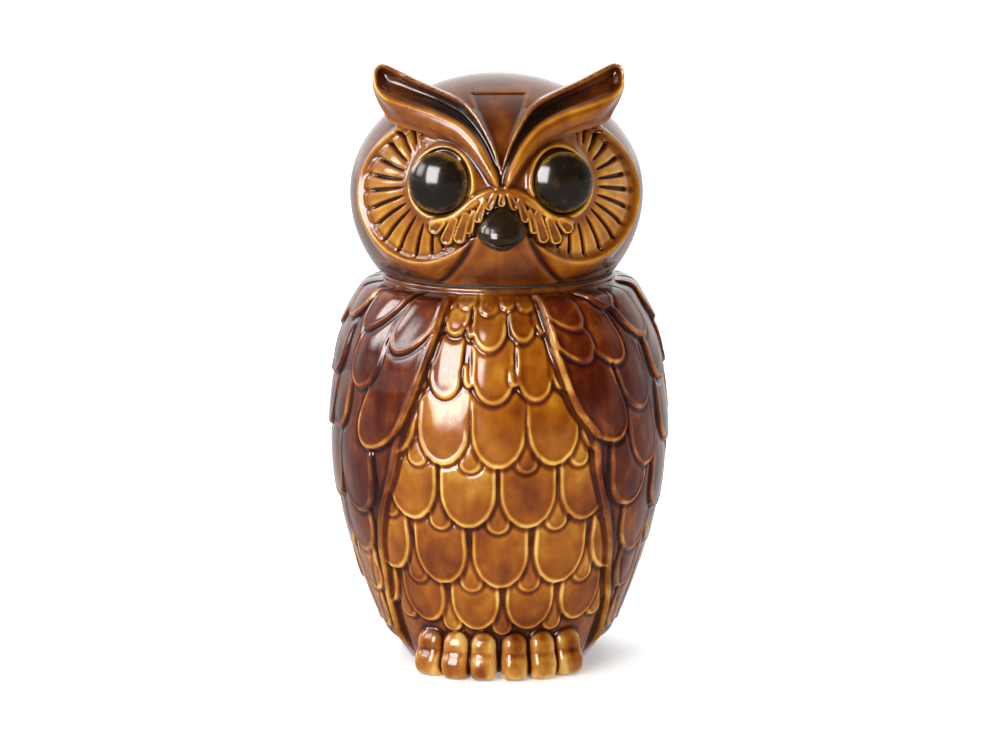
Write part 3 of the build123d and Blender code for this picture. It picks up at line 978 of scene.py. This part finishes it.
def lower_beak(x, y, z):
    return beak_field(x, y, z, LOWER_INSET, (BEAK_BOTTOM - z, 1.2), (z - beak_parting(x) + PARTING_GAP, 0.7))


def beak_half(name, field):
    points, quads = field_mesh(field, (-14, -84, 212), (14, -BEAK_BACK + 1, 238), BEAK_STEP)
    return mesh_object(name, head_in_place(points), quads, {"ridge": convexity(points, quads, 6)}, "head")


eyes = {"left_eye": eye_dome("left_eye_dome", 1), "right_eye": eye_dome("right_eye_dome", -1)}
for node_name, piece in eyes.items():
    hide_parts(node_name)

beaks = {
    "upper_beak": beak_half("upper_beak_horn", upper_beak),
    "lower_beak": beak_half("lower_beak_horn", lower_beak),
}
for node_name, piece in beaks.items():
    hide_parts(node_name)


# --- glazes -------------------------------------------------------------------------------------------------
def new_material(name):
    material = bpy.data.materials.new(name)
    material.use_nodes = True
    tree = material.node_tree
    return material, tree, tree.nodes["Principled BSDF"]


def node(tree, kind, **settings):
    """A new node. Settings that name an input set or link it, and the rest set the node's own properties."""
    made = tree.nodes.new("ShaderNode" + kind)
    for key, value in settings.items():
        if hasattr(made, key) and not isinstance(value, bpy.types.NodeSocket):
            setattr(made, key, value)
            continue
        socket = made.inputs[int(key[1:])] if key[0] == "_" else made.inputs[key.replace("_", " ")]
        if isinstance(value, bpy.types.NodeSocket):
            tree.links.new(value, socket)
        else:
            socket.default_value = value
    return made


def add(tree, a, b, scale=1.0):
    """a + b * scale, for two sockets."""
    return node(tree, "Math", operation="MULTIPLY_ADD", _0=b, _1=scale, _2=a).outputs[0]


def product(tree, a, b):
    return node(tree, "Math", operation="MULTIPLY", _0=a, _1=b).outputs[0]


def attribute(tree, name):
    return node(tree, "Attribute", attribute_name=name).outputs["Fac"]


def noise(tree, size_mm, stretch=1.0, detail=3.0, seed=0.0):
    """Smooth noise from 0 to 1 with lumps of about that size, stretch times as tall as they are wide."""
    place = node(tree, "TexCoord").outputs["Object"]
    scale = 1 / (size_mm * MM)
    mapped = node(tree, "Mapping", Vector=place, Location=(seed, 0, 0), Scale=(scale, scale, scale / stretch))
    return node(tree, "TexNoise", Vector=mapped.outputs[0], Scale=1.0, Detail=detail).outputs["Fac"]


def spread(tree, value, low, high, to_low=0.0, to_high=1.0):
    made = node(tree, "MapRange", Value=value, From_Min=low, From_Max=high, To_Min=to_low, To_Max=to_high)
    return made.outputs[0]


def centred(tree, value, low, high):
    return spread(tree, value, low, high, -0.5, 0.5)


def mottled(tree, fine_mm, stretch, broad_mm, share):
    """Uneven values round 0: fine noise, and a share of broad noise."""
    fine = centred(tree, noise(tree, fine_mm, stretch, 4.0), 0.3, 0.7)
    return add(tree, fine, centred(tree, noise(tree, broad_mm, 1.0, 2.0, 7.0), 0.35, 0.65), share)


def ramp(tree, value, stops):
    """A colour for a value from 0 to 1, from stops of (place, red, green, blue)."""
    made = tree.nodes.new("ShaderNodeValToRGB")
    tree.links.new(value, made.inputs[0])
    points = made.color_ramp.elements
    while len(points) < len(stops):
        points.new(0.5)
    for point, (place, *colour) in zip(points, stops):
        point.position = place
        point.color = (*colour, 1)
    return made.outputs[0]


def mixed(tree, amount, a, b):
    made = node(tree, "Mix", data_type="RGBA", _0=amount)
    for socket, value in ((made.inputs[6], a), (made.inputs[7], b)):
        if isinstance(value, bpy.types.NodeSocket):
            tree.links.new(value, socket)
        else:
            socket.default_value = (*value, 1)
    return made.outputs[2]


def gloss(tree, shader, wave=0.25):
    """A thick clear coat over a softer sheen, with the slight waviness of fired glaze."""
    shader.inputs["IOR"].default_value = 1.5
    shader.inputs["Specular IOR Level"].default_value = 0.08
    shader.inputs["Roughness"].default_value = 0.3
    shader.inputs["Coat Weight"].default_value = 1.0
    shader.inputs["Coat Roughness"].default_value = 0.025
    shader.inputs["Coat IOR"].default_value = 1.4
    ripple = node(tree, "Bump", Strength=wave, Distance=0.6 * MM, Height=noise(tree, 14, 1.3, 2.0, 5.0))
    tree.links.new(ripple.outputs[0], shader.inputs["Coat Normal"])
    tree.links.new(ripple.outputs[0], shader.inputs["Normal"])


def glaze(name, colour_of, wave=0.25):
    """A glossy glaze. colour_of makes its colour in the glaze's node tree."""
    material, tree, shader = new_material(name)
    tree.links.new(colour_of(tree), shader.inputs["Base Color"])
    gloss(tree, shader, wave)
    return material


# Each table goes from the glaze where it pooled to the glaze where it ran thin: place, red, green, blue.
BREAST_TONES = [
    (0.0, 0.045, 0.006, 0.0006), (0.25, 0.14, 0.027, 0.001), (0.45, 0.25, 0.062, 0.002),
    (0.62, 0.36, 0.115, 0.005), (0.8, 0.52, 0.25, 0.028), (1.0, 0.74, 0.47, 0.13),
]
WING_TONES = [
    (0.0, 0.016, 0.0015, 0.001), (0.3, 0.055, 0.006, 0.0012), (0.5, 0.11, 0.017, 0.002),
    (0.7, 0.25, 0.06, 0.006), (0.85, 0.43, 0.16, 0.018), (1.0, 0.64, 0.34, 0.075),
]
TOE_TONES = [
    (0.0, 0.03, 0.004, 0.001), (0.3, 0.13, 0.025, 0.002), (0.55, 0.32, 0.09, 0.007),
    (0.8, 0.52, 0.22, 0.028), (1.0, 0.76, 0.46, 0.12),
]
HEAD_TONES = [
    (0.0, 0.03, 0.005, 0.001), (0.25, 0.10, 0.022, 0.002), (0.45, 0.21, 0.056, 0.004),
    (0.62, 0.32, 0.100, 0.005), (0.8, 0.47, 0.20, 0.015), (1.0, 0.70, 0.41, 0.065),
]
BEAK_TONES = [(0.0, 0.008, 0.005, 0.003), (0.6, 0.018, 0.010, 0.004), (1.0, 0.06, 0.035, 0.01)]
BARE_CLAY = (0.72, 0.60, 0.44)
# Black for glaze pooled in the brows' channels, and painted shade in the gaps round the eyes.
POOLED_BLACK_AND_SHADE = (0.010, 0.004, 0.002)
EYE_BLACK = (0.010, 0.006, 0.003)
EYE_OCHRE = (0.27, 0.14, 0.022)
RUBBER = (0.020, 0.018, 0.017)
RUBBER_DUST = (0.045, 0.042, 0.040)


def body_colour(tree):
    """Breast, wings, toes and bare foot, each from the relief, the feather's own tint, and noise."""
    ridge, relief, along, tint = (attribute(tree, name) for name in ("ridge", "relief", "along", "tint"))
    mottle = mottled(tree, 9, 1.5, 26, 0.7)
    streak = centred(tree, noise(tree, 3.5, 6.0, 3.0, 3.0), 0.3, 0.7)
    rims = centred(tree, ridge, -0.26, 0.26)
    base = add(tree, add(tree, rims, centred(tree, relief, -1.6, 1.6), 0.45), mottle, 0.42)
    lit = spread(tree, along, 0.05, 0.7)
    own = centred(tree, tint, 0, 1)

    breast_value = add(tree, spread(tree, base, -0.9, 0.9, -0.15, 1.0), lit, 0.08)
    breast_glaze = ramp(tree, add(tree, breast_value, own, 0.16), BREAST_TONES)

    # the dark wings keep their bright rims only in places, where the glaze ran thin
    worn = spread(tree, noise(tree, 17, 1.0, 2.0, 11.0), 0.38, 0.62, -0.62, 0.08)
    raised = node(tree, "Math", operation="MAXIMUM", _0=rims, _1=0.0).outputs[0]
    wing_value = add(tree, spread(tree, base, -0.95, 0.9, -0.16, 0.98), streak, 0.1)
    wing_value = add(tree, add(tree, wing_value, own, 0.16), product(tree, worn, raised))
    wing_glaze = ramp(tree, wing_value, WING_TONES)

    toe_glaze = ramp(tree, add(tree, spread(tree, base, -0.9, 0.9), mottle, 0.22), TOE_TONES)
    # The wing share is smaller low on the wings, most of all on the -X side, where part of the paleness is
    # painted light.
    colour = mixed(tree, attribute(tree, "wing"), breast_glaze, wing_glaze)
    colour = mixed(tree, attribute(tree, "toe"), colour, toe_glaze)
    return mixed(tree, attribute(tree, "bare"), colour, BARE_CLAY)


def head_colour(tree):
    """Edges and golden places thin, with painted highlight in some golden places; grooves and dark places
    pooled;
    black in the channels, and painted shade in the sockets round the eyes.
    """
    ridge, relief, dark, gold_and_highlight = (attribute(tree, name) for name in ("ridge", "relief", "dark", "gold_and_highlight"))
    mottle = mottled(tree, 10, 1.3, 30, 0.6)
    edges = add(tree, centred(tree, ridge, -0.36, 0.36), centred(tree, relief, -1.3, 1.3), 0.4)
    value = add(tree, add(tree, edges, mottle, 0.36), gold_and_highlight, 0.36)
    value = add(tree, spread(tree, value, -0.85, 1.0, -0.10, 0.98), dark, -0.42)
    return mixed(tree, attribute(tree, "black"), ramp(tree, value, HEAD_TONES), POOLED_BLACK_AND_SHADE)


def eye_colour(tree):
    """Nearly black, with ochre speckles that crowd towards the rim."""
    rim = spread(tree, attribute(tree, "rim"), 0.80, 1.0)
    speckle = spread(tree, noise(tree, 0.55, 1.0, 4.0, 2.0), 0.42, 0.66)
    cloud = spread(tree, noise(tree, 5, 1.0, 3.0, 8.0), 0.35, 0.65, -0.45, 0.12)
    amount = product(tree, add(tree, rim, cloud), add(tree, speckle, rim, 0.35))
    clamped = node(tree, "Math", operation="MULTIPLY", _0=amount, _1=1.1, use_clamp=True).outputs[0]
    return mixed(tree, clamped, EYE_BLACK, EYE_OCHRE)


def beak_colour(tree):
    mottle = spread(tree, noise(tree, 4, 1.0, 4.0), 0.35, 0.7)
    return ramp(tree, add(tree, spread(tree, attribute(tree, "ridge"), -0.25, 0.45), mottle, 0.3), BEAK_TONES)


def seal_rubber():
    material, tree, shader = new_material("seal_rubber")
    dust = spread(tree, noise(tree, 3, 1.0, 5.0), 0.3, 0.75)
    tree.links.new(mixed(tree, dust, RUBBER, RUBBER_DUST), shader.inputs["Base Color"])
    tree.links.new(spread(tree, dust, 0, 1, 0.55, 0.75), shader.inputs["Roughness"])
    grain = node(tree, "Bump", Strength=0.3, Distance=0.05 * MM, Height=noise(tree, 0.4, 1.0, 2.0))
    tree.links.new(grain.outputs[0], shader.inputs["Normal"])
    return material


body.data.materials.append(glaze("body_glaze", body_colour))
head.data.materials.append(glaze("head_glaze", head_colour))
eye_glaze = glaze("eye_glaze", eye_colour, 0.05)
for piece in eyes.values():
    piece.data.materials.append(eye_glaze)
beak_glaze = glaze("beak_glaze", beak_colour, 0.06)
for piece in beaks.values():
    piece.data.materials.append(beak_glaze)
frame["nodes"]["lid_seal"].material_slots[0].material = seal_rubber()


# --- studio -------------------------------------------------------------------------------------------------
FLOOR_REACH = 14.0
OWL_MIDDLE = Vector((0, 0, 0.15))
CAMERA_PLACE = (0.0005, -1.8, 0.478)
CAMERA_DOWN = math.radians(10.616)
CAMERA_LENS = 132.3


def flat_sheet(name, half_x, half_y):
    mesh = bpy.data.meshes.new(name)
    corners = [(x * half_x, y * half_y, 0) for x, y in ((-1, -1), (1, -1), (1, 1), (-1, 1))]
    mesh.from_pydata(corners, [], [(0, 1, 2, 3)])
    return new_object(name, mesh)


def studio_floor():
    """A pale sweep that runs far behind the owl."""
    floor = flat_sheet("studio_floor", FLOOR_REACH, FLOOR_REACH)
    material, _, shader = new_material("studio_floor")
    shader.inputs["Base Color"].default_value = (0.95, 0.95, 0.95, 1)
    shader.inputs["Emission Color"].default_value = (1, 1, 1, 1)
    shader.inputs["Emission Strength"].default_value = 0.3
    shader.inputs["Roughness"].default_value = 0.6
    floor.data.materials.append(material)
    floor.visible_glossy = False


def stand_facing(obj, degrees, elevation, distance, front):
    """Places an object by its direction from the owl's middle, with its front axis towards the owl. degrees
    are from the camera's side towards +X."""
    way, up = math.radians(degrees), math.radians(elevation)
    direction = Vector((math.sin(way) * math.cos(up), -math.cos(way) * math.cos(up), math.sin(up)))
    obj.location = OWL_MIDDLE + distance * direction
    obj.rotation_euler = (OWL_MIDDLE - obj.location).to_track_quat(front, "Y").to_euler()


def softbox(name, degrees, elevation, distance, width, height, radiance, seen_in):
    """A rectangular light facing the owl. It is only a reflection ("gloss") or only light ("diffuse")."""
    light = bpy.data.lights.new(name, "AREA")
    light.shape = "RECTANGLE"
    light.size, light.size_y = width, height
    light.energy = radiance * math.pi * width * height
    obj = new_object(name, light)
    stand_facing(obj, degrees, elevation, distance, "-Z")
    obj.visible_diffuse = seen_in == "diffuse"
    obj.visible_glossy = seen_in == "gloss"
    obj.visible_camera = False


def curtained_window(name, degrees, elevation, distance, width, height, brightness, soft):
    """A window in the bright side of the room, with soft edges and folds. It is seen only in the gloss."""
    x, y = width / 2, height / 2
    window = flat_sheet(name, x, y)
    stand_facing(window, degrees, elevation, distance, "Z")
    material, tree, shader = new_material(name)
    place = node(tree, "SeparateXYZ", Vector=node(tree, "TexCoord").outputs["Object"])
    glow = spread(tree, noise(tree, 70, 8.0, 3.0), 0.3, 0.7, 0.6, 1.2)
    for value, half in ((place.outputs[0], x), (place.outputs[1], y)):
        off = node(tree, "Math", operation="ABSOLUTE", _0=value).outputs[0]
        fade = {"From_Min": half, "From_Max": half * (1 - soft), "interpolation_type": "SMOOTHSTEP"}
        glow = product(tree, glow, node(tree, "MapRange", Value=off, **fade).outputs[0])
    shader.inputs["Base Color"].default_value = (0, 0, 0, 1)
    shader.inputs["Emission Color"].default_value = (1, 1, 1, 1)
    tree.links.new(spread(tree, glow, 0, 1, 0, brightness), shader.inputs["Emission Strength"])
    window.data.materials.append(material)
    window.visible_camera = window.visible_diffuse = window.visible_shadow = False


def overhead_light():
    """Even, soft light from above, for the owl and the whole floor."""
    light = bpy.data.lights.new("overhead", "SUN")
    light.energy = 3.3
    light.angle = math.radians(75)
    obj = new_object("overhead", light)
    obj.rotation_euler = (math.radians(-14), math.radians(-12), 0)
    obj.visible_glossy = False


def studio_world():
    """A pale room, bright behind the owl and dim on the camera's side, so that the glaze has contrast. Its
    lower half stands for the table."""
    world = bpy.data.worlds.new("studio")
    world.use_nodes = True
    tree = world.node_tree
    background = tree.nodes["Background"]
    split = node(tree, "SeparateXYZ", Vector=node(tree, "TexCoord").outputs["Generated"])
    room = spread(tree, split.outputs[1], 0.15, 0.62, 0.02, 1.1)
    table = spread(tree, split.outputs[1], 0.0, 1.0, 0.33, 0.65)
    below = spread(tree, split.outputs[2], 0.02, -0.06)
    tree.links.new(mixed(tree, below, room, table), background.inputs["Color"])
    background.inputs["Strength"].default_value = 1.0
    bpy.context.scene.world = world


def camera():
    data = bpy.data.cameras.new("camera")
    data.sensor_width = 36.0
    data.lens = CAMERA_LENS
    data.clip_end = 50.0
    obj = new_object("camera", data)
    obj.location = CAMERA_PLACE
    obj.rotation_euler = (math.radians(90) - CAMERA_DOWN, 0, 0)
    bpy.context.scene.camera = obj


studio_floor()
studio_world()
overhead_light()
# windows: degrees, elevation, distance, width, height, brightness, and how soft the edges are
curtained_window("front_window", -34, 20, 1.45, 1.0, 1.3, 26, 0.45)
curtained_window("side_window", -72, 26, 1.4, 0.7, 0.9, 13, 0.8)
curtained_window("back_window", -98, 28, 1.4, 0.5, 0.9, 16, 0.7)
# softboxes: degrees, elevation, distance, width, height, radiance, and where they are seen
softbox("left_wall", -70, 22, 1.8, 2.2, 1.4, 0.7, "gloss")
softbox("right_wall", 95, 15, 1.6, 0.7, 1.0, 0.25, "gloss")
softbox("key", -40, 42, 2.0, 1.2, 1.2, 4.2, "diffuse")
softbox("fill", 40, 30, 2.0, 1.2, 1.2, 1.6, "diffuse")
camera()
bpy.context.scene.view_settings.view_transform = "Standard"
